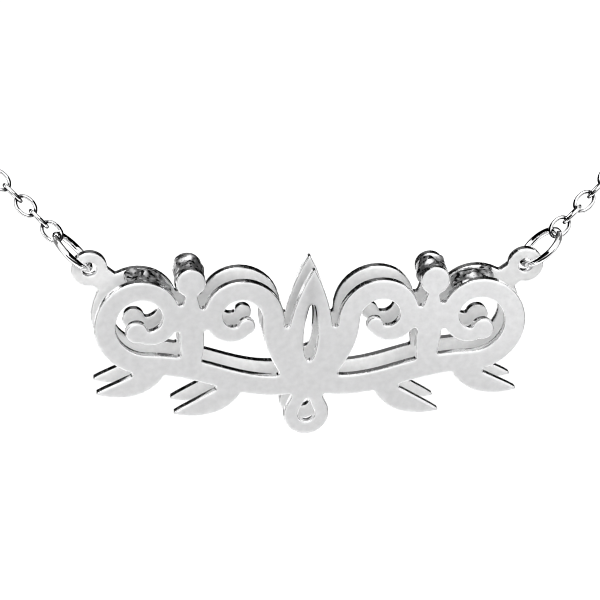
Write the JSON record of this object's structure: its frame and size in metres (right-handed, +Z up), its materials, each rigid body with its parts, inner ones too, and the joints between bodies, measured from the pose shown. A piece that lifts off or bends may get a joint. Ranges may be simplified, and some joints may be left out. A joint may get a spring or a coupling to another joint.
{
  "type": "nameplate necklace",
  "caption": "Double-plate silver necklace: a pierced scroll ornament on two spaced plates, hung by jump rings on a fine oval cable chain with a ring clasp.",
  "frame": {"origin": "the middle of the chain's path at the nape, where the closed necklace rests on a neck", "axes": "+X to the wearer's left, along the ornament's width; -Y to the front, the way the ornament faces; +Z up"},
  "size_m": [0.1272, 0.1031, 0.1008],
  "materials": {
    "satin_silver": "satin, fine grain, polished edges",
    "polished_silver": "bright polished silver wire"
  },
  "bodies": {
    "root": {"nameplate": "satin_silver", "jump_ring_left": "polished_silver", "jump_ring_right": "polished_silver", "chain_left": "polished_silver", "chain_right": "polished_silver", "end_ring": "polished_silver", "clasp": "polished_silver"}
  },
  "joints": []
}
